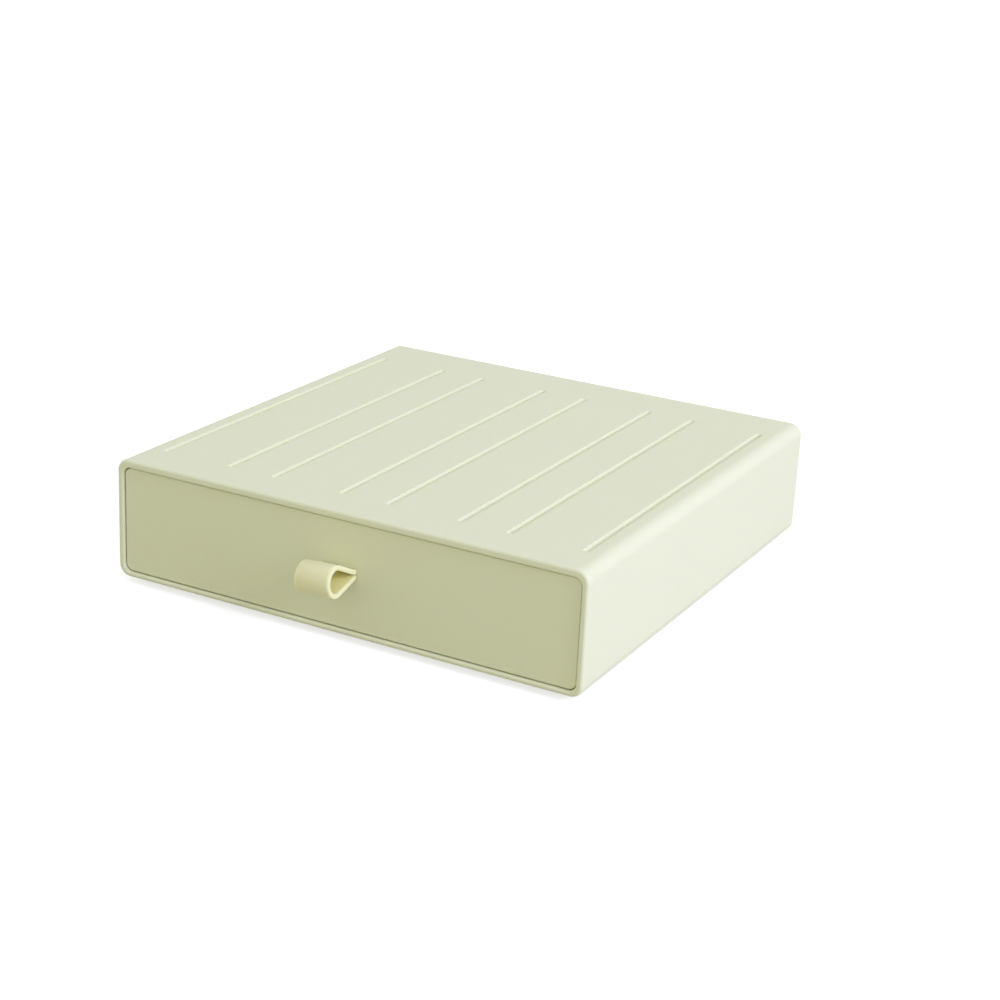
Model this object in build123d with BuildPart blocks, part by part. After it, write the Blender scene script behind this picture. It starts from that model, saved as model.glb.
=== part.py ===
from build123d import *
from math import asin, atan2, degrees, hypot
import os

# A shallow drawer box: a moulded sleeve on four soft feet, a clip-in back, and a
# drawer whose front sits just inside the sleeve's lip and is drawn out by a folded strap.
# Millimetres, +Z up, the drawer opens towards -Y. The origin is on the table under
# the middle of the whole box, its strap included.

# Sleeve
width = 200.0
depth = 200.0
shell_height = 47.5
wall = 2.5
top_wall = 3.0
floor_wall = 2.0
corner_radius = 4.8
mouth_radius = 3.3
lip_crest = 0.2
lip_inner_round = 0.7

# Grooves in the top: pairs at a steady pitch, so that boxes side by side carry on the pattern
groove_pitch = 50.0
groove_pair = 20.0
groove_length = 160.0
groove_width = 1.5
groove_depth = 1.0
groove_front = 17.5
groove_chamfer = 0.7

# Feet
foot_height = 2.5
foot_diameter = 14.0
foot_sunk = 0.8
foot_inset = 20.0
foot_chamfer = 0.8
foot_clearance = 0.15

# Rails, stops and lugs that carry and halt the drawer
rail_width = 4.0
rail_spread = 140.0
stop_height = 0.9
stop_length = 6.0
stop_width = 10.0
stop_spread = 90.0
stop_set_back = 4.0
ramp_length = 3.0
pass_gap = 0.3
tray_kept_in = 46.0

# Clip-in back panel
panel_thickness = 2.2
panel_clearance = 0.15
tongue_thickness = 1.0
tongue_length = 9.0
tongue_width = 8.0
tongue_spread = 20.0
tongue_catch = 0.6
tongue_ramp = 2.5
tongue_tip = 1.0
pocket_clearance = 0.2

# Drawer tray
tray_wall = 1.8
tray_corner = 6.0
tray_floor_radius = 3.0
tray_top_chamfer = 0.4
tray_bottom_chamfer = 0.8
tray_top_gap = 1.4
tray_rear_gap = 1.8
running_gap = 0.35

# Drawer front
face_recess = 1.0
front_gap = 0.4
front_plate = 2.4
front_rim = 1.6
front_edge_round = 0.5
rib_thickness = 1.2
rib_pitch = 56.0
rib_count = 4
hook_width = 8.0
hook_thickness = 1.2
hook_catch = 0.8
hook_head = 1.6
hook_spread_x = 120.0
hook_spread_z = 22.0
hook_clearance = 0.1

# Pull strap, its slot and its clamp
strap_width = 14.5
strap_thickness = 1.9
layer_gap = 0.2
slot_clearance = 0.1
slot_lift = 1.3
slot_back_chamfer = 1.0
bend_radius = 1.5
flare_radius = 3.0
loop_radius = 5.2
loop_out = 12.55
loop_rise = 1.2
tail_reach = 13.0
clamp_width = 13.0
clamp_height = 24.0
clamp_thickness = 1.2
clamp_corner = 1.5
boss_diameter = 4.0
boss_spread = 18.0
boss_clearance = 0.2
pilot_diameter = 1.6
pilot_floor = 1.2
screw_diameter = 1.5
screw_bite = 2.6
screw_head_diameter = 3.6
screw_head_height = 1.3
screw_clearance = 0.2

# Heights
sleeve_bottom = foot_height
sleeve_top = sleeve_bottom + shell_height
sleeve_mid = (sleeve_bottom + sleeve_top) / 2
floor_top = sleeve_bottom + floor_wall
inner_width = width - 2 * wall
inner_height = shell_height - floor_wall - top_wall
mouth_mid = floor_top + inner_height / 2
lip_outer_round = floor_wall - lip_crest - lip_inner_round
rail_height = stop_height + pass_gap
tray_bottom = floor_top + rail_height
tray_top = floor_top + inner_height - tray_top_gap
tray_mid = (tray_bottom + tray_top) / 2
slot_mid = mouth_mid + slot_lift

# Places from front to back
pull_reach = loop_out + loop_radius + strap_thickness / 2 - face_recess
sleeve_front = (pull_reach - depth) / 2
sleeve_back = sleeve_front + depth
sleeve_centre = (sleeve_front + sleeve_back) / 2
standoff = strap_thickness + clamp_thickness + screw_head_height + screw_clearance
face_front = sleeve_front + face_recess
plate_back = face_front + front_plate
tray_front = plate_back + standoff
panel_inner = sleeve_back - panel_thickness
tray_back = panel_inner - tray_rear_gap
tray_centre = (tray_front + tray_back) / 2
tray_length = tray_back - tray_front
travel = tray_back - tray_kept_in - sleeve_front
stop_front = tray_front + stop_set_back
stop_back = stop_front + stop_length
lug_front = stop_back + travel

# Widths across the drawer
side_gap = panel_clearance + tongue_thickness + running_gap
tray_width = inner_width - 2 * side_gap
front_width = inner_width - 2 * front_gap
front_height = inner_height - 2 * front_gap
front_radius = mouth_radius - front_gap


def facing_front(y):
    """A plane square to the drawer's travel, looking out of the front, with its y axis up."""
    return Plane.XZ.offset(-y)


def write(piece, name):
    """Label a finished piece and write it as its own file."""
    piece.part.label = name
    export_step(piece.part, f"parts/{name}.step")


os.makedirs("parts", exist_ok=True)


# Sleeve: a tube with a rounded lip, grooves on top, rails and stops on its floor,
# a rebate and four pockets for the back panel, and sunk seats for the feet.
rebate = floor_wall / 2
pocket_depth = tongue_catch + panel_clearance
pocket_back = panel_inner - (tongue_length - tongue_tip - tongue_ramp)
pocket_length = tongue_ramp + tongue_tip + pocket_clearance
tongue_levels = [mouth_mid - tongue_spread / 2, mouth_mid + tongue_spread / 2]
groove_pairs = 2 * int(width / 2 / groove_pitch) + 1
groove_places = [
    pitch_line + side * groove_pair / 2
    for pitch_line in [(i - groove_pairs // 2) * groove_pitch for i in range(groove_pairs)]
    for side in (-1, 1)
    if abs(pitch_line + side * groove_pair / 2) < width / 2 - corner_radius
]

with BuildPart() as sleeve:
    with BuildSketch(facing_front(sleeve_back)):
        with Locations((0, sleeve_mid)):
            RectangleRounded(width, shell_height, corner_radius)
        with Locations((0, mouth_mid)):
            RectangleRounded(inner_width, inner_height, mouth_radius, mode=Mode.SUBTRACT)
    extrude(amount=depth)
    lip = sleeve.faces().sort_by(Axis.Y)[0]
    mouth_edges = lip.inner_wires()[0].edges()
    fillet(lip.outer_wire().edges(), lip_outer_round)
    fillet(mouth_edges, lip_inner_round)

    with BuildSketch(Plane.XY.offset(sleeve_top)):
        with Locations(*[(x, sleeve_front + groove_front + groove_length / 2) for x in groove_places]):
            SlotOverall(groove_length, groove_width, rotation=90)
    extrude(amount=-groove_depth, mode=Mode.SUBTRACT)
    chamfer(sleeve.edges(Select.LAST).group_by(Axis.Z)[-1], groove_chamfer)

    with BuildSketch(Plane.XY.offset(floor_top)):
        with Locations((0, (tray_front + panel_inner) / 2)):
            with GridLocations(rail_spread, 0, 2, 1):
                Rectangle(rail_width, panel_inner - tray_front)
    extrude(amount=rail_height)

    for side in (-1, 1):
        with BuildSketch(Plane.YZ.offset(side * stop_spread / 2)):
            with BuildLine():
                Polyline(
                    (stop_front, floor_top),
                    (stop_front + ramp_length, floor_top + stop_height),
                    (stop_back, floor_top + stop_height),
                    (stop_back, floor_top),
                    close=True,
                )
            make_face()
        extrude(amount=stop_width / 2, both=True)

    with BuildSketch(facing_front(sleeve_back)):
        with Locations((0, mouth_mid)):
            RectangleRounded(inner_width + 2 * rebate, inner_height + 2 * rebate, mouth_radius + rebate)
    extrude(amount=panel_thickness, mode=Mode.SUBTRACT)

    with Locations(*[(0, pocket_back - pocket_length / 2, level) for level in tongue_levels]):
        Box(
            inner_width + 2 * pocket_depth,
            pocket_length,
            tongue_width + 2 * pocket_clearance,
            mode=Mode.SUBTRACT,
        )

    with BuildSketch(Plane.XY.offset(sleeve_bottom)):
        with Locations((0, sleeve_centre)):
            with GridLocations(width - 2 * foot_inset, depth - 2 * foot_inset, 2, 2):
                Circle(foot_diameter / 2 + foot_clearance)
    extrude(amount=foot_sunk, mode=Mode.SUBTRACT)
write(sleeve, "sleeve")


# Back panel: a plate that sits in the sleeve's rebate, with four spring tongues that
# lie along the side walls and catch in their pockets.
tongue_outer = inner_width / 2 - panel_clearance
tongue_inner = tongue_outer - tongue_thickness

with BuildPart() as rear_panel:
    with BuildSketch(facing_front(sleeve_back)):
        with Locations((0, mouth_mid)):
            RectangleRounded(
                inner_width + 2 * (rebate - panel_clearance),
                inner_height + 2 * (rebate - panel_clearance),
                mouth_radius + rebate - panel_clearance,
            )
    extrude(amount=panel_thickness)

    for level in tongue_levels:
        with BuildSketch(Plane.XY.offset(level)):
            with BuildLine():
                Polyline(
                    (tongue_inner, panel_inner),
                    (tongue_outer, panel_inner),
                    (tongue_outer, pocket_back),
                    (tongue_outer + tongue_catch, pocket_back),
                    (tongue_outer, pocket_back - tongue_ramp),
                    (tongue_outer, panel_inner - tongue_length),
                    (tongue_inner, panel_inner - tongue_length),
                    close=True,
                )
            make_face()
            mirror(about=Plane.YZ)
        extrude(amount=tongue_width / 2, both=True)
write(rear_panel, "rear_panel")


# Feet: round soft pads in the sunk seats, chamfered where they meet the table.
for row, row_side in (("front", -1), ("rear", 1)):
    for hand, hand_side in (("left", -1), ("right", 1)):
        foot_place = (
            hand_side * (width / 2 - foot_inset),
            sleeve_centre + row_side * (depth / 2 - foot_inset),
        )
        with BuildPart() as foot:
            with BuildSketch():
                with Locations(foot_place):
                    Circle(foot_diameter / 2)
            extrude(amount=foot_height + foot_sunk)
            chamfer(foot.edges().group_by(Axis.Z)[0], foot_chamfer)
        write(foot, f"foot_{row}_{hand}")


# Tray: thin walls with a coved floor, rounded at the back, square at the front where it
# meets the drawer front. Slots in its front wall take the hooks, and two lugs under its
# floor run up against the sleeve's stops.
with BuildPart() as drawer_tray:
    with BuildSketch(Plane.XY.offset(tray_bottom)):
        with Locations((0, tray_centre)):
            Rectangle(tray_width, tray_length)
    extrude(amount=tray_top - tray_bottom)
    fillet(drawer_tray.edges().filter_by(Axis.Z).group_by(Axis.Y)[-1], tray_corner)
    chamfer(drawer_tray.edges().group_by(Axis.Z)[0].sort_by(Axis.Y)[1:], tray_bottom_chamfer)

    with BuildSketch(Plane.XY.offset(tray_bottom + tray_wall)):
        with Locations((0, tray_centre)):
            RectangleRounded(
                tray_width - 2 * tray_wall, tray_length - 2 * tray_wall, tray_corner - tray_wall
            )
    extrude(amount=tray_top - tray_bottom - tray_wall, mode=Mode.SUBTRACT)
    fillet(drawer_tray.faces().filter_by(Axis.Z).sort_by(Axis.Z)[1].edges(), tray_floor_radius)
    chamfer(drawer_tray.faces().sort_by(Axis.Z)[-1].edges(), tray_top_chamfer)

    hook_flex = hook_thickness + hook_catch
    for side in (-1, 1):
        for level in (-1, 1):
            with Locations(
                (
                    side * hook_spread_x / 2,
                    tray_front + tray_wall / 2,
                    tray_mid + level * (hook_spread_z - hook_flex) / 2,
                )
            ):
                Box(
                    hook_width + 2 * hook_clearance,
                    tray_wall,
                    hook_flex + 2 * hook_clearance,
                    mode=Mode.SUBTRACT,
                )

    for side in (-1, 1):
        with BuildSketch(Plane.YZ.offset(side * stop_spread / 2)):
            with BuildLine():
                Polyline(
                    (lug_front, tray_bottom),
                    (lug_front, tray_bottom - stop_height),
                    (lug_front + stop_length - ramp_length, tray_bottom - stop_height),
                    (lug_front + stop_length, tray_bottom),
                    close=True,
                )
            make_face()
        extrude(amount=stop_width / 2, both=True)
write(drawer_tray, "drawer_tray")


# Drawer front: a shallow pan, set just inside the sleeve's mouth. Its rim and ribs stand on the
# tray's front wall, four hooks go through that wall, and two bosses carry the strap.
# The slot's corners are tight enough for the square edges of the strap.
slot_corner = 3 * slot_clearance

with BuildPart() as drawer_front:
    with BuildSketch(facing_front(tray_front)):
        with Locations((0, mouth_mid)):
            RectangleRounded(front_width, front_height, front_radius)
    extrude(amount=tray_front - face_front)
    fillet(drawer_front.edges().group_by(Axis.Y)[0], front_edge_round)

    with BuildSketch(facing_front(tray_front)):
        with Locations((0, mouth_mid)):
            Rectangle(front_width - 2 * front_rim, front_height - 2 * front_rim)
            with GridLocations(rib_pitch, 0, rib_count, 1):
                Rectangle(rib_thickness, front_height, mode=Mode.SUBTRACT)
    extrude(amount=standoff, mode=Mode.SUBTRACT)

    with BuildSketch(facing_front(plate_back)):
        with Locations((0, slot_mid)):
            RectangleRounded(
                strap_width + 2 * slot_clearance,
                2 * strap_thickness + layer_gap + 2 * slot_clearance,
                slot_corner,
            )
    extrude(amount=front_plate, mode=Mode.SUBTRACT)
    chamfer(drawer_front.edges(Select.LAST).group_by(Axis.Y)[-1], slot_back_chamfer)

    with BuildSketch(facing_front(plate_back + strap_thickness)):
        with Locations((0, slot_mid)):
            with GridLocations(0, boss_spread, 1, 2):
                Circle(boss_diameter / 2)
    extrude(amount=strap_thickness)
    with BuildSketch(facing_front(plate_back + strap_thickness)):
        with Locations((0, slot_mid)):
            with GridLocations(0, boss_spread, 1, 2):
                Circle(pilot_diameter / 2)
    extrude(amount=strap_thickness + front_plate - pilot_floor, mode=Mode.SUBTRACT)

    hook_outer = hook_spread_z / 2
    hook_inner = hook_outer - hook_thickness
    hook_root = plate_back
    hook_seat = tray_front + tray_wall
    for side in (-1, 1):
        for level in (-1, 1):
            with BuildSketch(Plane.YZ.offset(side * hook_spread_x / 2)):
                with BuildLine():
                    Polyline(
                        (hook_root, tray_mid + level * hook_inner),
                        (hook_root, tray_mid + level * hook_outer),
                        (hook_seat, tray_mid + level * hook_outer),
                        (hook_seat, tray_mid + level * (hook_outer + hook_catch)),
                        (hook_seat + hook_head, tray_mid + level * hook_outer),
                        (hook_seat + hook_head, tray_mid + level * hook_inner),
                        close=True,
                    )
                make_face()
            extrude(amount=hook_width / 2, both=True)
write(drawer_front, "drawer_front")


# Pull strap: one band. It comes through the slot in two layers, opens into a round loop
# outside, and behind the panel its two tails turn up and down, held by the bosses.
pull_plane = Plane(origin=(0, face_front, slot_mid), x_dir=(0, -1, 0), z_dir=(-1, 0, 0))
layer_offset = (strap_thickness + layer_gap) / 2
tail_line = -front_plate - strap_thickness / 2


def layer_tilt(side):
    """Slope of the straight run between a layer's flare at the slot and the loop."""
    out = loop_out
    rise = loop_rise - side * (layer_offset + flare_radius)
    swing = asin((flare_radius + loop_radius) / hypot(out, rise))
    return degrees(atan2(rise, out) + side * swing)


with BuildPart() as pull_strap:
    with BuildSketch(pull_plane):
        with BuildLine():
            loop = CenterArc(
                (loop_out, loop_rise),
                loop_radius,
                layer_tilt(-1) - 90,
                180 + layer_tilt(1) - layer_tilt(-1),
            )
            for side, loop_end in ((-1, 0), (1, 1)):
                bend = CenterArc(
                    (tail_line + bend_radius, side * (layer_offset + bend_radius)),
                    bend_radius,
                    180,
                    side * 90,
                )
                flare = CenterArc(
                    (0, side * (layer_offset + flare_radius)),
                    flare_radius,
                    -side * 90,
                    layer_tilt(side),
                )
                Line((tail_line, side * tail_reach), bend @ 0)
                Line(bend @ 1, flare @ 0)
                Line(flare @ 1, loop @ loop_end)
        trace(line_width=strap_thickness)
    extrude(amount=strap_width / 2, both=True)

    with BuildSketch(facing_front(plate_back + strap_thickness)):
        with Locations((0, slot_mid)):
            with GridLocations(0, boss_spread, 1, 2):
                Circle(boss_diameter / 2 + boss_clearance)
    extrude(amount=strap_thickness, mode=Mode.SUBTRACT)
write(pull_strap, "pull_strap")


# Strap clamp: a small plate across both tails.
clamp_back = plate_back + strap_thickness + clamp_thickness

with BuildPart() as strap_clamp:
    with BuildSketch(facing_front(clamp_back)):
        with Locations((0, slot_mid)):
            RectangleRounded(clamp_width, clamp_height, clamp_corner)
            with GridLocations(0, boss_spread, 1, 2):
                Circle(screw_diameter / 2 + screw_clearance, mode=Mode.SUBTRACT)
    extrude(amount=clamp_thickness)
write(strap_clamp, "strap_clamp")


# Clamp screws: two cheese heads on straight shanks, one above and one below the slot.
with BuildPart() as clamp_screws:
    with BuildSketch(Plane(origin=(0, clamp_back, slot_mid + boss_spread / 2), x_dir=(0, 1, 0))):
        with BuildLine():
            Polyline(
                (screw_head_height, 0),
                (-clamp_thickness - screw_bite, 0),
                (-clamp_thickness - screw_bite, screw_diameter / 2),
                (0, screw_diameter / 2),
                (0, screw_head_diameter / 2),
                (screw_head_height, screw_head_diameter / 2),
                close=True,
            )
        make_face()
    revolve(axis=Axis((0, clamp_back, slot_mid + boss_spread / 2), (0, 1, 0)))
    mirror(about=Plane.XY.offset(slot_mid))
write(clamp_screws, "clamp_screws")
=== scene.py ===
# %% [markdown]
# # A shallow drawer box, dressed on its frame
# The box is a moulded sleeve on four soft feet, with a clip-in back and a drawer. The drawer's front closes
# just inside the sleeve's lip, and a folded strap pulls it. The frame holds every piece at its real size
# and place, in metres. This lesson adds what a frame can't hold: the finish of each surface, and the pieces
# whose looks depend on softness or on fine turning. The bare frame's box is kept; the lamps aim at its
# middle.

# %% Load the frame
import math

import bpy
from mathutils import Matrix, Vector


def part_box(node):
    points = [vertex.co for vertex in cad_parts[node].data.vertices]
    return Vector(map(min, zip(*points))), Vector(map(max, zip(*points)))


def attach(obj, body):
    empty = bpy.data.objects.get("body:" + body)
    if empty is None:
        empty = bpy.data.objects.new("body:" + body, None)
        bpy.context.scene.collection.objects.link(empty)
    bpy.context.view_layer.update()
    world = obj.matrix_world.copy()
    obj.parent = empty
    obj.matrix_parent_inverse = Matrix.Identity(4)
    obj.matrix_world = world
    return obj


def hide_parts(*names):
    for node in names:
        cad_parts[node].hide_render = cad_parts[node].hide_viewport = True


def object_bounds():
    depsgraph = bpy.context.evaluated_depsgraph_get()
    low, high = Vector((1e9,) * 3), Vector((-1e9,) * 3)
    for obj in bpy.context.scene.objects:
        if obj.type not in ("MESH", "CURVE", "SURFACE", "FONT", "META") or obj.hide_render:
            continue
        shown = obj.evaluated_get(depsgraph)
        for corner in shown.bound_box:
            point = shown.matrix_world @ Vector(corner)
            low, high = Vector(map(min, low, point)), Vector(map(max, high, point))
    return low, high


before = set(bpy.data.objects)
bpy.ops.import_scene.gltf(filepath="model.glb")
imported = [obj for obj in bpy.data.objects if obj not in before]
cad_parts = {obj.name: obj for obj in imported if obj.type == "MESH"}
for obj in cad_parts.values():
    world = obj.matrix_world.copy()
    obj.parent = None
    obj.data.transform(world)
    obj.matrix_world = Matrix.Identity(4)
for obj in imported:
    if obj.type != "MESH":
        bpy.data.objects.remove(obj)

frame_low, frame_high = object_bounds()
mm = 0.001
print("frame:", sorted(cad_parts))
print("size in mm:", [round(side / mm, 1) for side in frame_high - frame_low])

# %% [markdown]
# ## Sums with sockets
# A finish is a sum of many small effects: a grain, a worn edge, a mark. Written node by node, such a sum
# is hard to read. The class below wraps one output socket, so that `0.5 - 0.1 * worn` adds its Math
# nodes by itself. Every other node, in a material or in a geometry tree, comes from its `add` method,
# which sets what the node does first and then fills its inputs.

# %% A socket that can be used in sums
class Wire:
    """One output of a node tree, ready for arithmetic."""

    def __init__(self, socket):
        self.socket = socket
        self.tree = socket.id_data

    @staticmethod
    def add(tree, kind, settings=None, sockets=None, output=0):
        """Add a node: first its settings, then the values or wires of its sockets."""
        node = tree.nodes.new(kind)
        for name, value in (settings or {}).items():
            setattr(node, name, value)
        for name, value in (sockets or {}).items():
            if isinstance(value, Wire):
                tree.links.new(value.socket, node.inputs[name])
            else:
                node.inputs[name].default_value = value
        return Wire(node.outputs[output]) if node.outputs else None

    def out(self, output):
        """Another output of the same node."""
        return Wire(self.socket.node.outputs[output])

    def math(self, operation, first, second=0.0):
        """A Math node on two numbers or wires."""
        return Wire.add(self.tree, "ShaderNodeMath", {"operation": operation}, {0: first, 1: second})

    def __add__(self, other):
        return self.math("ADD", self, other)

    def __radd__(self, other):
        return self.math("ADD", other, self)

    def __sub__(self, other):
        return self.math("SUBTRACT", self, other)

    def __rsub__(self, other):
        return self.math("SUBTRACT", other, self)

    def __mul__(self, other):
        return self.math("MULTIPLY", self, other)

    def __rmul__(self, other):
        return self.math("MULTIPLY", other, self)

    def __abs__(self):
        return self.math("ABSOLUTE", self)

    def root(self):
        return self.math("SQRT", self)

    def least(self, other):
        return self.math("MINIMUM", self, other)

    def most(self, other):
        return self.math("MAXIMUM", self, other)

    def to_and_fro(self, reach):
        """The value folded between 0 and reach, so that a pattern repeats every two reaches."""
        return self.math("PINGPONG", self, reach)

    def fade(self, near, far):
        """1 up to near, 0 from far on, and a smooth slope between them."""
        return Wire.add(
            self.tree,
            "ShaderNodeMapRange",
            {"interpolation_type": "SMOOTHSTEP"},
            {"Value": self, "From Min": near, "From Max": far, "To Min": 1.0, "To Max": 0.0},
        )


print("sockets take part in sums")

# %% [markdown]
# ## Colours and vectors
# A Math node turns a colour grey and a vector into one number, so colours go through the Mix node and
# vectors through Vector Math. The Mix node has a set of sockets for each kind of data, and all sets have
# the same names, so its colour sockets are found by their number.

# %% Colours and vectors
mix_factor = 0
mix_first_colour = 6
mix_second_colour = 7
mixed_colour = 2


def blend(factor, first, second):
    """A colour between two colours."""
    sockets = {mix_factor: factor, mix_first_colour: first, mix_second_colour: second}
    return Wire.add(factor.tree, "ShaderNodeMix", {"data_type": "RGBA"}, sockets, mixed_colour)


def vector_math(operation, first, second, output="Vector"):
    """Two vectors put together, such as part by part or as the distance between them."""
    sockets = {0: first, 1: second}
    return Wire.add(first.tree, "ShaderNodeVectorMath", {"operation": operation}, sockets, output)


def split(vector):
    """The three parts of a vector."""
    apart = Wire.add(vector.tree, "ShaderNodeSeparateXYZ", sockets={"Vector": vector})
    return [apart.out(axis) for axis in ("X", "Y", "Z")]


print("colours can be blended, vectors multiplied and split")

# %% [markdown]
# ## The starting points of every finish
# All finishes here read Object coordinates. The pieces sit at the origin with their place in their mesh,
# so these are the frame's own metres, and a pattern stays fixed to its piece when the drawer slides.
# Noise in several sizes does most of the work: coarse noise for patches that took more or less pigment,
# fine noise for the texture that the mould's sparked surface leaves.

# %% Coordinates, noise and the closing shader
def empty_tree(owner):
    """The node tree of a material or a world, with nothing in it yet."""
    owner.use_nodes = True
    owner.node_tree.nodes.clear()
    return owner.node_tree


def new_finish(name):
    """A material without a shader yet, and its Object coordinates."""
    material = bpy.data.materials.new(name)
    return material, Wire.add(empty_tree(material), "ShaderNodeTexCoord", output="Object")


def noise(place, grain, seed, detail=2.0, roughness=0.55):
    """Noise from 0 to 1 whose patches are about one grain across."""
    sockets = {"Vector": place, "W": seed, "Scale": 1 / grain, "Detail": detail, "Roughness": roughness}
    return Wire.add(place.tree, "ShaderNodeTexNoise", {"noise_dimensions": "4D"}, sockets)


def bumped(height, depth):
    """A surface normal from a height of 0 to 1 that stands for a real depth."""
    sockets = {"Strength": 1.0, "Distance": depth, "Height": height}
    return Wire.add(height.tree, "ShaderNodeBump", sockets=sockets)


def close_finish(material, colour, roughness, normal, **fixed):
    """Join the varying inputs to one shader, with the rest as fixed numbers on its own sockets."""
    tree = material.node_tree
    sockets = {"Base Color": colour, "Roughness": roughness, "Normal": normal}
    sockets.update({name.replace("_", " "): value for name, value in fixed.items()})
    shader = Wire.add(tree, "ShaderNodeBsdfPrincipled", sockets=sockets)
    Wire.add(tree, "ShaderNodeOutputMaterial", sockets={"Surface": shader})
    return material


print("a finish can be started, given noise and bump, and closed")

# %% [markdown]
# ## Worn edges
# Edges are touched and rubbed more than faces. Blender's Bevel node can find edges on any shape, but it
# costs time in every render. The pieces here are boxes, so their edges can be worked out from the box of
# each frame node instead.

# %% A mask for the edges of a box
def nearness_to_edges(place, low, high, reach):
    """1 on the edges of a box and 0 further than reach from them.

    The distances to the nearest side along each axis are compared: on a face one of them is nought, on an
    edge two are, so the middle one of the three tells how far the edge is.
    """
    gaps = [(part - low[axis]).least(high[axis] - part) for axis, part in enumerate(split(place))]
    smaller = gaps[0].least(gaps[1])
    larger = gaps[0].most(gaps[1])
    middle = smaller.most(larger.least(gaps[2]))
    return middle.fade(0.0, reach)


print("the edges of a box can be masked")

# %% [markdown]
# ## Moulded plastic
# The sleeve, the back, the clamp and the drawer are one cream plastic with a matt, sparked texture. On the
# real box the colour isn't quite even: it drifts over a few centimetres, and rubbed edges turn a little
# paler and smoother. A single colour with a fixed roughness would look like paint. Here three noises vary
# the colour, the roughness and the surface itself, and the edge mask adds the wear. Some light also runs
# under the skin, as it does in pale plastic, and warms the shade.

# %% Moulded plastic
cream = (0.80, 0.805, 0.59, 1.0)
cream_worn = (0.81, 0.815, 0.62, 1.0)
cream_grimy = (0.78, 0.785, 0.57, 1.0)
pigment_share = 0.97
drift_size = 38 * mm
speckle_size = 1.6 * mm
texture_size = 0.42 * mm
texture_depth = 0.03 * mm
wear_reach = 2.4 * mm
matt_roughness = 0.58
glow_depth = 1.5 * mm
plastic_glow = (1.0, 0.9, 0.45)


def deeper(colour):
    """The same colour where the plastic took a little more pigment."""
    return (*(pigment_share * part for part in colour[:3]), 1.0)


def moulded_plastic(name, seed, tint=cream, marks=None):
    """Matt plastic for one node. marks gives the height, sheen and grime of its own marks."""
    material, place = new_finish(f"{name}_plastic")
    low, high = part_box(name)
    drift = noise(place, drift_size, seed, detail=3.0)
    speckle = noise(place, speckle_size, seed + 1.0)
    texture = noise(place, texture_size, seed + 2.0, detail=3.0, roughness=0.65)
    worn = nearness_to_edges(place, low, high, wear_reach) * (0.35 + 0.65 * speckle)
    height = texture + 0.35 * speckle
    roughness = matt_roughness + 0.12 * drift - 0.08 * worn
    colour = blend(0.8 * drift + 0.2 * speckle, deeper(tint), tint)
    colour = blend(0.4 * worn, colour, cream_worn)
    if marks:
        mark_height, sheen, grime = marks(place, low, high)
        height = height + mark_height
        roughness = roughness - sheen
        colour = blend(grime, colour, cream_grimy)
    return close_finish(
        material,
        colour,
        roughness,
        bumped(height, texture_depth),
        IOR=1.49,
        Specular_IOR_Level=0.35,
        Subsurface_Weight=0.3,
        Subsurface_Radius=plastic_glow,
        Subsurface_Scale=glow_depth,
    )


print("plastic in", cream[:3], "with a texture of", texture_size / mm, "mm")

# %% Dress the sleeve, the back and the clamp
seed_step = 10.0


def dress(name, material):
    """Give a frame node one finish all over."""
    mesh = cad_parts[name].data
    mesh.materials.clear()
    mesh.materials.append(material)
    print(name, "wears", material.name)


for step, name in enumerate(("sleeve", "rear_panel", "strap_clamp")):
    dress(name, moulded_plastic(name, seed_step * step))

# %% [markdown]
# ## Marks of use on the drawer
# The drawer is moulded apart from the sleeve, and its cream is a touch darker and yellower: partly its own
# colour, and partly a painted warm shade, as its front faces away from the lamps. Fingers take the strap,
# so the drawer front shines a little around the slot. The tray's floor has the faint rings that the mould's
# ejector pins leave, and fine scratches along the way its contents slide. These are hundredths of a
# millimetre deep, so they are drawn into the finish and not into the shape.

# %% Polish on the drawer front
# a darker, yellower cream: partly the drawer's own colour, partly a painted warm shade for its front
drawer_cream_with_painted_shade = (0.79, 0.79, 0.555, 1.0)
handled_near = 8 * mm
handled_far = 34 * mm


def handled(place, low, high):
    """Skin polish around the strap's slot."""
    band_low, band_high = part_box("pull_strap")
    slot = (0.0, low.y, (band_low.z + band_high.z) / 2)
    polish = vector_math("DISTANCE", place, slot, "Value").fade(handled_near, handled_far)
    return 0.0, 0.1 * polish, 0.25 * polish


dress("drawer_front", moulded_plastic("drawer_front", 3 * seed_step, drawer_cream_with_painted_shade, handled))

# %% Pin rings and scratches in the tray
pin_pitch = 62 * mm
pin_radius = 4 * mm
pin_line = 0.35 * mm
scratch_size = 0.7 * mm
scratch_shares = (1.0, 0.035, 1.0)
scratch_full = 0.28
scratch_none = 0.36


def moulded_floor(place, low, high):
    """Rings of ejector pins and fine scratches, both sunk."""
    middle = (low + high) / 2
    x, y, _ = split(place)
    across = (x - middle.x).to_and_fro(pin_pitch / 2)
    along = (y - middle.y).to_and_fro(pin_pitch / 2)
    from_pin = (across * across + along * along).root()
    ring = abs(from_pin - pin_radius).fade(0.0, pin_line)
    drawn_out = vector_math("MULTIPLY", place, scratch_shares)
    scratch = noise(drawn_out, scratch_size, seed=71.0, detail=1.0).fade(scratch_full, scratch_none)
    return -1.5 * ring - 0.5 * scratch, 0.05 * scratch, 0.1 * ring


dress("drawer_tray", moulded_plastic("drawer_tray", 4 * seed_step, drawer_cream_with_painted_shade, moulded_floor))

# %% [markdown]
# ## The pull strap
# The strap is one soft band, folded double. It comes through the slot in two layers and opens into a
# round loop, and behind the front its tails turn up and down under the clamp. The frame only holds its
# plain solid. A band could be bent from a flat strip by a modifier, but then its thickness is hard to
# keep. Sweeping a rounded section along a path keeps the thickness and gives soft cut edges.
# The path is worked out from the same sizes as the frame's solid: straight runs and arcs that meet
# without a kink.

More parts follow.
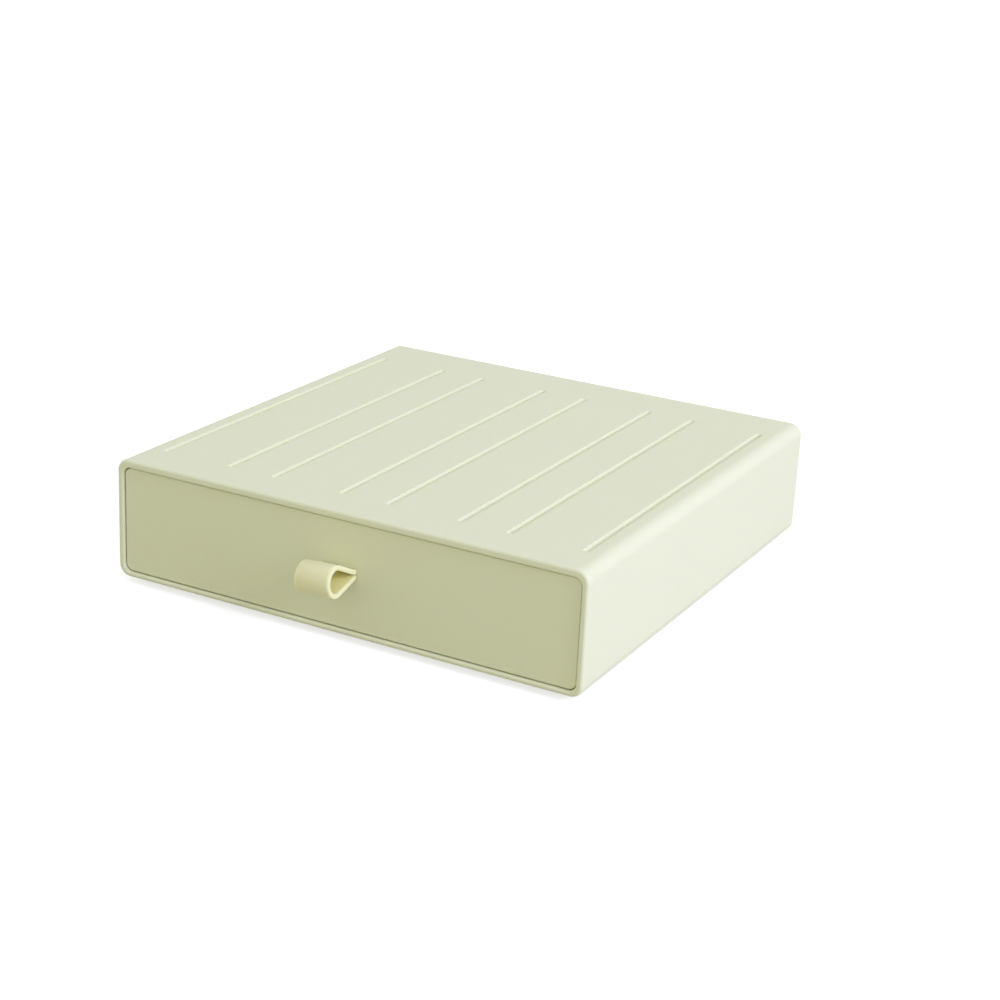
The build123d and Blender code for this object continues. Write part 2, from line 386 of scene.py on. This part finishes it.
# %% The strap's sizes
strap_low, strap_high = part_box("pull_strap")
front_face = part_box("drawer_front")[0].y
strap_width = strap_high.x - strap_low.x
strap_thickness = 1.9 * mm
layer_gap = 0.2 * mm
layer_offset = (strap_thickness + layer_gap) / 2
bend_radius = 1.5 * mm
flare_radius = 3.0 * mm
loop_radius = 5.2 * mm
loop_rise = 0.8 * mm
slot_level = (strap_low.z + strap_high.z) / 2
tail_reach = (strap_high.z - strap_low.z) / 2
tail_line = front_face - strap_high.y + strap_thickness / 2
loop_out = front_face - strap_low.y - loop_radius - strap_thickness / 2
print("strap", round(strap_width / mm, 1), "mm wide")
print("middle of the loop", round(loop_out / mm, 1), "mm out of the front")

# %% The strap's path
bend_steps = 10
loop_steps = 56


def arc(centre, radius, start, sweep, steps):
    """Points along an arc, with both its ends. Angles are in degrees."""
    angles = [math.radians(start + sweep * i / steps) for i in range(steps + 1)]
    return [(centre[0] + radius * math.cos(a), centre[1] + radius * math.sin(a)) for a in angles]


def layer_tilt(side):
    """Slope, in degrees, of the run between the flare at the slot and the loop."""
    rise = loop_rise - side * (layer_offset + flare_radius)
    swing = math.asin((flare_radius + loop_radius) / math.hypot(loop_out, rise))
    return math.degrees(math.atan2(rise, loop_out) + side * swing)


def layer(side):
    """One layer from its tail to the start of the loop, as (out, up) from the slot."""
    bend_centre = (tail_line + bend_radius, side * (layer_offset + bend_radius))
    flare_centre = (0.0, side * (layer_offset + flare_radius))
    tail = [(tail_line, side * tail_reach)]
    bend = arc(bend_centre, bend_radius, 180.0, side * 90.0, bend_steps)
    flare = arc(flare_centre, flare_radius, -side * 90.0, layer_tilt(side), bend_steps)
    return tail + bend + flare


loop_start = layer_tilt(-1) - 90.0
loop_sweep = 180.0 + layer_tilt(1) - layer_tilt(-1)
loop = arc((loop_out, loop_rise), loop_radius, loop_start, loop_sweep, loop_steps)
strap_line = layer(-1) + loop + layer(1)[::-1]
strap_path = [Vector((0.0, front_face - out, slot_level + up)) for out, up in strap_line]
print("strap path of", len(strap_path), "points")

# %% [markdown]
# ## Geometry trees
# The band follows a path, and the feet and the screws repeat. Geometry Nodes suit both: a tree holds the
# rule, with named inputs for its sizes. A few helpers make the trees short. One starts a tree with its
# named inputs, one closes it, and one runs it once and keeps the result as a plain mesh, so that nothing
# live is left on the finished piece.

# %% Start and close a geometry tree
socket_kinds = {
    float: "Float",
    int: "Int",
    tuple: "Vector",
    bpy.types.Object: "Object",
    bpy.types.Material: "Material",
}


def new_tree(name, sizes):
    """A geometry tree with named inputs, and a wire for each of them."""
    tree = bpy.data.node_groups.new(name, "GeometryNodeTree")
    tree.interface.new_socket("Geometry", in_out="OUTPUT", socket_type="NodeSocketGeometry")
    tree.interface.new_socket("Geometry", in_out="INPUT", socket_type="NodeSocketGeometry")
    for label, value in sizes.items():
        kind = socket_kinds[type(value)]
        tree.interface.new_socket(label, in_out="INPUT", socket_type=f"NodeSocket{kind}")
    entry = Wire.add(tree, "NodeGroupInput")
    return tree, {socket.name: Wire(socket) for socket in entry.socket.node.outputs if socket.name}


def close_tree(geometry, finish):
    """End a tree: real copies of all instances, then the finish."""
    tree = geometry.tree
    real = Wire.add(tree, "GeometryNodeRealizeInstances", sockets={"Geometry": geometry})
    done = Wire.add(tree, "GeometryNodeSetMaterial", sockets={"Geometry": real, "Material": finish})
    Wire.add(tree, "NodeGroupOutput", sockets={"Geometry": done})


def cut_from(mesh, cutter):
    """A mesh with another one taken out of it."""
    settings = {"operation": "DIFFERENCE", "solver": "EXACT"}
    return Wire.add(mesh.tree, "GeometryNodeMeshBoolean", settings, {"Mesh 1": mesh, "Mesh 2": cutter})


def stood_on(points, shape, turn):
    """A copy of a shape on each point, all turned alike."""
    sockets = {"Points": points, "Instance": shape, "Rotation": turn}
    return Wire.add(points.tree, "GeometryNodeInstanceOnPoints", sockets=sockets)


print("geometry trees can be started, filled and closed")

# %% Run a geometry tree
def into_scene(name, data):
    """A new object in the scene, at the origin."""
    thing = bpy.data.objects.new(name, data)
    bpy.context.scene.collection.objects.link(thing)
    return thing


def drawn_line(name, points):
    """A curve object of straight runs through points."""
    curve = bpy.data.curves.new(name, "CURVE")
    curve.dimensions = "3D"
    spline = curve.splines.new("POLY")
    spline.points.add(len(points) - 1)
    for knot, point in zip(spline.points, points):
        knot.co = (*point, 1.0)
    return into_scene(name, curve)


def run_tree(name, tree, sizes, carrier, smooth_below):
    """Run a tree on a carrier object and keep its result as a plain mesh piece."""
    modifier = carrier.modifiers.new(name, "NODES")
    modifier.node_group = tree
    for item in tree.interface.items_tree:
        if item.in_out == "INPUT" and item.name in sizes:
            modifier[item.identifier] = sizes[item.name]
    graph = bpy.context.evaluated_depsgraph_get()
    mesh = bpy.data.meshes.new_from_object(carrier.evaluated_get(graph))
    mesh.name = name
    mesh.shade_smooth()
    mesh.set_sharp_from_angle(angle=math.radians(smooth_below))
    bpy.data.objects.remove(carrier)
    print(name, "has", len(mesh.polygons), "faces")
    return into_scene(name, mesh)


print("geometry trees can be run")

# %% [markdown]
# ## The strap's finish
# The band is a soft cream sheet with a fine pebble grain. It was cut from a wider sheet, and its long edges
# are
# smoother and painted paler: partly rubbed pale, and partly a painted highlight where the lamps catch them.
# The face that is folded inward is painted a darker gold, a painted shade for light that only bounces in
# there.
# Object coordinates can't tell these faces apart on a curled band. So the sweep will store on every point
# where it lies in the band's section: X across the width, and Y through the thickness, from the outer face
# to the inner one. The finish reads that attribute.

# %% The strap's finish
strap_outer = (0.83, 0.80, 0.53, 1.0)
strap_shade = (0.79, 0.76, 0.44, 1.0)
# painted shade: the darker gold of the face folded inside the loop
strap_inner_painted_shade = (0.85, 0.81, 0.43, 1.0)
# paler cut edges: partly rubbed pale, partly a painted highlight where light catches them
strap_cut_pale_and_lit = (0.88, 0.86, 0.53, 1.0)
strap_glow = (1.0, 0.95, 0.4)
cloud_size = 6 * mm
pebble_size = 0.55 * mm
pebble_depth = 0.05 * mm
fibre_size = 0.25 * mm
edge_round = 0.4 * mm
pale_edge_width = 1.4 * mm
soft_roughness = 0.46


def soft_band():
    """Pebbled soft sheet; paler cut edges, partly rubbed and partly painted highlight; painted golden shade
    inside.
    """
    material, place = new_finish("strap_soft_sheet")
    tree = place.tree
    section = Wire.add(tree, "ShaderNodeAttribute", {"attribute_name": "section"}, output="Vector")
    across, through, _ = split(section)
    half = strap_width / 2
    cut = 1 - abs(across).fade(half - pale_edge_width, half - edge_round)
    # the inner face, which gets the painted golden shade
    inner = 1 - through.fade(0.0, strap_thickness / 2)
    sockets = {"Vector": place, "Scale": 1 / pebble_size, "Randomness": 0.9}
    pebble = Wire.add(tree, "ShaderNodeTexVoronoi", {"feature": "SMOOTH_F1"}, sockets, "Distance")
    cloud = noise(place, cloud_size, seed=5.0, detail=3.0)
    fibre = noise(place, fibre_size, seed=6.0)
    colour = blend(0.35 * cloud + 0.5 * pebble, strap_outer, strap_shade)
    # painted shade: the inner face turns a darker gold
    colour = blend(inner, colour, strap_inner_painted_shade)
    # cut edges painted paler: partly rubbing, partly painted highlight
    colour = blend(cut * (0.75 + 0.25 * fibre), colour, strap_cut_pale_and_lit)
    roughness = soft_roughness + 0.14 * pebble + 0.1 * cut
    height = (1 - cut) * (1 - pebble) + 0.3 * fibre
    return close_finish(
        material,
        colour,
        roughness,
        bumped(height, pebble_depth),
        IOR=1.46,
        Subsurface_Weight=0.5,
        Subsurface_Radius=strap_glow,
        Subsurface_Scale=glow_depth,
    )


strap_finish = soft_band()
print("the strap will wear", strap_finish.name)

# %% [markdown]
# ## Sweeping the strap
# The section is a rectangle with rounded corners, and it carries its own coordinates along. Left to itself
# a sweep may twist, so the tree fixes the section's width along X at every point of the path.

# %% The strap's section and sweep
corner_points = 4
across_the_box = (1.0, 0.0, 0.0)
vectors = {"data_type": "FLOAT_VECTOR"}


def spot(tree):
    """Where each point is."""
    return Wire.add(tree, "GeometryNodeInputPosition")


def with_section(geometry, value):
    """The geometry with its place in the section stored on each point."""
    sockets = {"Geometry": geometry, "Name": "section", "Value": value}
    return Wire.add(geometry.tree, "GeometryNodeStoreNamedAttribute", vectors, sockets)


def rounded_section(given):
    """A rectangle with rounded corners that carries its own coordinates."""
    tree = given["Width"].tree
    sides = {"Width": given["Width"], "Height": given["Thickness"]}
    section = Wire.add(tree, "GeometryNodeCurvePrimitiveQuadrilateral", sockets=sides)
    corners = {"Curve": section, "Count": corner_points, "Radius": given["Edge Round"]}
    rounded = Wire.add(tree, "GeometryNodeFilletCurve", {"mode": "POLY"}, corners)
    return with_section(rounded, spot(tree))


def swept_band(given):
    """The section swept along the path, with its width along X."""
    tree = given["Geometry"].tree
    held = {"Curve": given["Geometry"], "Normal": across_the_box}
    path = Wire.add(tree, "GeometryNodeSetCurveNormal", {"mode": "FREE"}, held)
    sweep = {"Curve": path, "Profile Curve": rounded_section(given), "Fill Caps": True}
    return Wire.add(tree, "GeometryNodeCurveToMesh", sockets=sweep)


print("a rounded section can be swept")

# %% [markdown]
# ## Holes and a soft roll
# Two round holes take the bosses of the drawer front, one through each tail. Cutting makes new points, and
# the stored coordinates are lost with it, so they are read again from the nearest place on the uncut band.
# A soft loop doesn't stay quite level, either: this one is rolled by a few degrees, fully at the loop and
# not at all where the slot holds the band.

# %% Holes and roll
hole_steps = 40
through_the_front = (math.radians(90), 0.0, 0.0)


def punched(band, given):
    """The band with a round hole through each tail, and its section coordinates."""
    tree = band.tree
    size = {"Vertices": hole_steps, "Radius": given["Hole Radius"], "Depth": given["Hole Depth"]}
    punch = Wire.add(tree, "GeometryNodeMeshCylinder", sockets=size)
    ends = {"Count": 2, "Start Location": given["Lower Hole"], "Offset": given["Upper Hole"]}
    places = Wire.add(tree, "GeometryNodeMeshLine", {"mode": "END_POINTS"}, ends)
    punches = stood_on(places, punch, through_the_front)
    cutters = Wire.add(tree, "GeometryNodeRealizeInstances", sockets={"Geometry": punches})
    section = Wire.add(tree, "GeometryNodeInputNamedAttribute", vectors, {"Name": "section"})
    nearest = {"Mesh": band, "Value": section, "Sample Position": spot(tree)}
    uncut = Wire.add(tree, "GeometryNodeSampleNearestSurface", vectors, nearest)
    return with_section(cut_from(band, cutters), uncut)


def rolled(band, given):
    """The band turned about the slot's middle, more and more from the slot to the loop."""
    tree = band.tree
    here = spot(tree)
    _, depth, _ = split(here)
    angle = given["Roll"] * depth.fade(given["Full Roll"], given["No Roll"])
    about = {"Vector": here, "Center": given["Slot"], "Angle": angle}
    turned = Wire.add(tree, "ShaderNodeVectorRotate", {"rotation_type": "Y_AXIS"}, about)
    return Wire.add(tree, "GeometryNodeSetPosition", sockets={"Geometry": band, "Position": turned})


print("a band can be punched and rolled")

# %% The strap
boss_reach = 9 * mm
boss_hole = 2.2 * mm
loop_roll = math.radians(-4.0)
strap_smooth_below = 40
strap_sizes = {
    "Width": strap_width,
    "Thickness": strap_thickness,
    "Edge Round": edge_round,
    "Hole Radius": boss_hole,
    "Hole Depth": 4 * strap_thickness,
    "Lower Hole": (0.0, front_face - tail_line, slot_level - boss_reach),
    "Upper Hole": (0.0, front_face - tail_line, slot_level + boss_reach),
    "Slot": (0.0, front_face, slot_level),
    "Roll": loop_roll,
    "Full Roll": front_face - loop_out,
    "No Roll": front_face,
    "Finish": strap_finish,
}
strap_tree, given = new_tree("strap_sweep", strap_sizes)
close_tree(rolled(punched(swept_band(given), given), given), given["Finish"])
strap_carrier = drawn_line("strap_path", strap_path)
pull_band = run_tree("pull_band", strap_tree, strap_sizes, strap_carrier, strap_smooth_below)
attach(pull_band, "drawer")
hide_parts("pull_strap")

# %% [markdown]
# ## Turned pieces
# A foot and a screw are both round about an axis: a half outline turned once about it. One tree serves
# both. It sweeps the outline round a circle, closes the pole, and stands a copy on each given point.
# A screw also gets a cross cut into its head, by two blades.

# %% Turning an outline
pole_gap = 0.001 * mm
turned_smooth_below = 30


def turned_tree(name, sizes, blades=()):
    """An outline turned about its axis, cut by blades and stood on each point of the carrier."""
    tree, given = new_tree(name, sizes)
    drawing = {"Object": given["Outline"]}
    outline = Wire.add(tree, "GeometryNodeObjectInfo", sockets=drawing, output="Geometry")
    circle = {"Resolution": given["Steps"], "Radius": given["Radius"]}
    ring = Wire.add(tree, "GeometryNodeCurvePrimitiveCircle", sockets=circle)
    skin = Wire.add(tree, "GeometryNodeCurveToMesh", sockets={"Curve": ring, "Profile Curve": outline})
    shape = Wire.add(tree, "GeometryNodeMergeByDistance", sockets={"Geometry": skin, "Distance": pole_gap})
    for blade in blades:
        block = Wire.add(tree, "GeometryNodeMeshCube", sockets={"Size": given[blade]})
        seat = {"Geometry": block, "Translation": given["Cross Place"]}
        shape = cut_from(shape, Wire.add(tree, "GeometryNodeTransform", sockets=seat))
    close_tree(stood_on(given["Geometry"], shape, given["Turn"]), given["Finish"])
    return tree


def outline_object(name, radius, points):
    """An outline of (radius, height) points, measured from the ring that it is swept round.

    It runs backwards, because the faces of the sweep then point outwards.
    """
    return drawn_line(name, [(r - radius, -h, 0.0) for r, h in reversed(points)])


def points_object(name, places):
    """A mesh of bare points."""
    mesh = bpy.data.meshes.new(name)
    mesh.from_pydata(places, [], [])
    return into_scene(name, mesh)


print("outlines can be turned")

# %% [markdown]
# ## The feet
# Each foot is a soft round pad, pressed into a sunk seat. Such pads grip by rings moulded into the
# sole, and their lower edge is rounded so that it doesn't peel off. The finish is a soft, dull rubber
# with dusty patches and a darker, rubbed sole.

# %% The feet's outline
foot_names = sorted(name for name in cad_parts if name.startswith("foot_"))
foot_low, foot_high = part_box(foot_names[0])
foot_radius = (foot_high.x - foot_low.x) / 2
foot_tall = foot_high.z - foot_low.z
foot_round = 0.8 * mm
foot_round_steps = 6
ring_depth = 0.35 * mm
ring_slope = 0.15 * mm
ring_spans = ((0.0, 1.4 * mm), (2.6 * mm, 3.5 * mm), (4.6 * mm, 5.4 * mm))


def foot_outline():
    """Sole with sunk rings, rounded edge, side and top."""
    sole = []
    for inner, outer in ring_spans:
        if inner:
            sole += [(inner, 0.0), (inner + ring_slope, ring_depth)]
        else:
            sole.append((inner, ring_depth))
        sole += [(outer - ring_slope, ring_depth), (outer, 0.0)]
    edge = arc((foot_radius - foot_round, foot_round), foot_round, -90.0, 90.0, foot_round_steps)
    return sole + edge + [(foot_radius, foot_tall), (0.0, foot_tall)]


print("feet", round(2 * foot_radius / mm, 1), "mm across and", round(foot_tall / mm, 1), "mm tall")

# %% The feet's finish
rubber_pale = (0.62, 0.61, 0.52, 1.0)
rubber_dusty = (0.55, 0.54, 0.46, 1.0)
rubber_rubbed = (0.5, 0.49, 0.43, 1.0)
dust_size = 2.5 * mm
rubber_grain = 0.3 * mm
rubber_grain_depth = 0.02 * mm
rubbed_full = 0.05 * mm
rubbed_none = 0.5 * mm
dull_roughness = 0.7


def soft_rubber():
    """Dull pale rubber with dusty patches, rubbed on its sole."""
    material, place = new_finish("foot_rubber")
    _, _, up = split(place)
    dust = noise(place, dust_size, seed=50.0, detail=4.0)
    grain = noise(place, rubber_grain, seed=51.0)
    sole = up.fade(rubbed_full, rubbed_none)
    colour = blend(0.6 * dust, rubber_pale, rubber_dusty)
    colour = blend(0.5 * sole, colour, rubber_rubbed)
    roughness = dull_roughness + 0.15 * dust - 0.12 * sole
    return close_finish(material, colour, roughness, bumped(grain, rubber_grain_depth), IOR=1.5)


foot_finish = soft_rubber()
print("the feet will wear", foot_finish.name)

# %% The feet
foot_steps = 64
foot_sizes = {
    "Outline": outline_object("foot_outline", foot_radius, foot_outline()),
    "Radius": foot_radius,
    "Steps": foot_steps,
    "Turn": (0.0, 0.0, 0.0),
    "Finish": foot_finish,
}
foot_places = []
for foot_name in foot_names:
    low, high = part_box(foot_name)
    foot_places.append(((low.x + high.x) / 2, (low.y + high.y) / 2, low.z))
feet_tree = turned_tree("feet_turned", foot_sizes)
foot_points = points_object("foot_places", foot_places)
feet = run_tree("soft_feet", feet_tree, foot_sizes, foot_points, turned_smooth_below)
bpy.data.objects.remove(foot_sizes["Outline"])
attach(feet, "case")
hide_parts(*foot_names)

# %% [markdown]
# ## The clamp screws
# Two small screws hold the clamp over the strap's tails. They are plated steel with a cheese head, a
# cross recess and a coarse thread that cuts its own way into the plastic. The thread is drawn into the
# outline as a row of teeth, since its slant is too small to see.

# %% The screws' outline
screws_low, screws_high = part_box("clamp_screws")
clamp_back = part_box("strap_clamp")[1].y
head_radius = (screws_high.x - screws_low.x) / 2
head_tall = screws_high.y - clamp_back
head_round = 0.35 * mm
head_round_steps = 5
shank_long = clamp_back - screws_low.y
crest_radius = 0.75 * mm
root_radius = 0.56 * mm
thread_pitch = 0.55 * mm


def screw_outline():
    """Tip, teeth, shank and rounded head, with heights from the head's seat."""
    teeth = int((shank_long - thread_pitch) / thread_pitch)
    line = [(0.0, -shank_long)]
    for i in range(teeth):
        low = -shank_long + i * thread_pitch
        line += [(root_radius, low), (crest_radius, low + thread_pitch / 2)]
    line += [(root_radius, -shank_long + teeth * thread_pitch), (root_radius, 0.0), (head_radius, 0.0)]
    head_corner = (head_radius - head_round, head_tall - head_round)
    line += arc(head_corner, head_round, 0.0, 90.0, head_round_steps)
    return line + [(0.0, head_tall)]


print("screws", round((head_tall + shank_long) / mm, 1), "mm long")

# %% The screws' finish
zinc_bright = (0.62, 0.62, 0.60, 1.0)
zinc_dull = (0.50, 0.50, 0.47, 1.0)
patch_size = 0.8 * mm
plating_grain = 0.12 * mm
plating_depth = 0.004 * mm
bright_roughness = 0.26


def plated_steel():
    """Bright zinc plating with a faint grain and dulled patches."""
    material, place = new_finish("screw_plated_steel")
    patch = noise(place, patch_size, seed=60.0, detail=3.0)
    grain = noise(place, plating_grain, seed=61.0)
    colour = blend(patch, zinc_bright, zinc_dull)
    roughness = bright_roughness + 0.18 * patch
    return close_finish(material, colour, roughness, bumped(grain, plating_depth), Metallic=1.0)


screw_finish = plated_steel()
print("the screws will wear", screw_finish.name)

# %% The screws
screw_steps = 44
cross_width = 0.45 * mm
cross_span = 2.1 * mm
cross_depth = 0.7 * mm
screw_sizes = {
    "Outline": outline_object("screw_outline", head_radius, screw_outline()),
    "Radius": head_radius,
    "Steps": screw_steps,
    "Turn": (math.radians(-90), 0.0, 0.0),
    "Cross Size": (cross_span, cross_width, 2 * cross_depth),
    "Cross Turned": (cross_width, cross_span, 2 * cross_depth),
    "Cross Place": (0.0, 0.0, head_tall),
    "Finish": screw_finish,
}
screw_levels = (screws_low.z + head_radius, screws_high.z - head_radius)
screw_points = points_object("screw_places", [(0.0, clamp_back, level) for level in screw_levels])
screw_tree = turned_tree("screws_turned", screw_sizes, ("Cross Size", "Cross Turned"))
screws = run_tree("clamp_cross_screws", screw_tree, screw_sizes, screw_points, turned_smooth_below)
bpy.data.objects.remove(screw_sizes["Outline"])
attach(screws, "drawer")
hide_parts("clamp_screws")

# %% [markdown]
# ## The camera
# The camera stands to the right of the drawer, a little above it, at the distance and the angle from
# which the box's edges meet as they do in the picture. The turn is about the vertical, the tilt is up
# from looking straight down, and the roll is the small slant of the picture itself.

# %% The camera
camera_place = (0.37053, -0.67282, 0.30688)
camera_turn = math.radians(27.74)
camera_tilt = math.radians(70.06)
camera_roll = math.radians(2.83)
camera_data = bpy.data.cameras.new("camera")
camera_data.sensor_width = 36.0
camera_data.lens = 73.856
camera = into_scene("camera", camera_data)
camera.matrix_world = (
    Matrix.Translation(camera_place)
    @ Matrix.Rotation(camera_turn, 4, "Z")
    @ Matrix.Rotation(camera_tilt, 4, "X")
    @ Matrix.Rotation(camera_roll, 4, "Z")
)
bpy.context.scene.camera = camera
bpy.context.scene.view_settings.view_transform = "Standard"
print("camera at", [round(part, 3) for part in camera_place])

# %% [markdown]
# ## Floor and light
# The box stands on a pale floor in soft studio light. A dome lights it from all round, warm at its sides
# and cooler overhead, and two cool lamps on the right, one high and one low, make that side the brightest
# and draw a bright line in each groove. The front gets no lamp and stays in warm shade. The camera sees a
# white floor and a white world, but as light they are dimmer, so they add little glare from below. The
# floor keeps the box's shadow.

# %% The floor
floor_bounce = (0.52, 0.51, 0.40, 1.0)
floor_seen = (0.55, 0.55, 0.55, 1.0)
floor_lift = 0.68
floor_half = 6.0


def seen_rays(tree):
    """1 for what the camera sees, straight or in metal and glass, and 0 for light that bounces."""
    path = Wire.add(tree, "ShaderNodeLightPath", output="Is Camera Ray")
    return path.most(path.out("Is Glossy Ray")).most(path.out("Is Transmission Ray"))


def floor_finish():
    """White to the camera, a duller cream to the light that bounces off it."""
    material = bpy.data.materials.new("floor_pale")
    tree = empty_tree(material)
    seen = seen_rays(tree)
    matt = Wire.add(tree, "ShaderNodeBsdfDiffuse", sockets={"Color": blend(seen, floor_bounce, floor_seen)})
    lift = Wire.add(tree, "ShaderNodeEmission", sockets={"Strength": seen * floor_lift})
    both = Wire.add(tree, "ShaderNodeAddShader", sockets={0: matt, 1: lift})
    Wire.add(tree, "ShaderNodeOutputMaterial", sockets={"Surface": both})
    return material


floor_mesh = bpy.data.meshes.new("floor")
signs = ((-1, -1), (1, -1), (1, 1), (-1, 1))
floor_mesh.from_pydata([(x * floor_half, y * floor_half, 0.0) for x, y in signs], [], [(0, 1, 2, 3)])
floor_mesh.materials.append(floor_finish())
floor = into_scene("floor", floor_mesh)
print("floor", 2 * floor_half, "m across")

# %% The dome
dome_side = (0.94, 0.935, 0.65, 1.0)
dome_top = (0.58, 0.61, 0.73, 1.0)
white = (1.0, 1.0, 1.0, 1.0)

world = bpy.data.worlds.new("studio")
world_tree = empty_tree(world)
direction = Wire.add(world_tree, "ShaderNodeTexCoord", output="Generated")
_, _, upward = split(direction)
dome = blend(upward.most(0.0), dome_side, dome_top)
sky = blend(seen_rays(world_tree), dome, white)
background = Wire.add(world_tree, "ShaderNodeBackground", sockets={"Color": sky, "Strength": 1.0})
Wire.add(world_tree, "ShaderNodeOutputWorld", sockets={"Surface": background})
bpy.context.scene.world = world
print("dome from", dome_side[:3], "at its sides to", dome_top[:3], "overhead")

# %% The lamps
lamp_distance = 2.4
box_middle = (frame_low + frame_high) / 2


def lamp(name, direction, size, level, colour):
    """A square soft lamp aimed at the box. The level is what it adds to a white surface facing it."""
    data = bpy.data.lights.new(name, "AREA")
    data.shape = "SQUARE"
    data.size = size
    data.energy = level * (math.pi * lamp_distance) ** 2
    data.color = colour
    toward = Vector(direction).normalized()
    aim = toward.to_track_quat("Z", "Y").to_matrix().to_4x4()
    into_scene(name, data).matrix_world = Matrix.Translation(box_middle + toward * lamp_distance) @ aim
    print(name, "gives", level, "from", [round(part, 2) for part in toward])


lamp("high_lamp", direction=(0.80, -0.10, 0.46), size=0.75, level=0.45, colour=(0.745, 0.765, 1.0))
lamp("side_lamp", direction=(0.97, -0.10, 0.14), size=1.35, level=0.35, colour=(0.385, 0.41, 1.0))
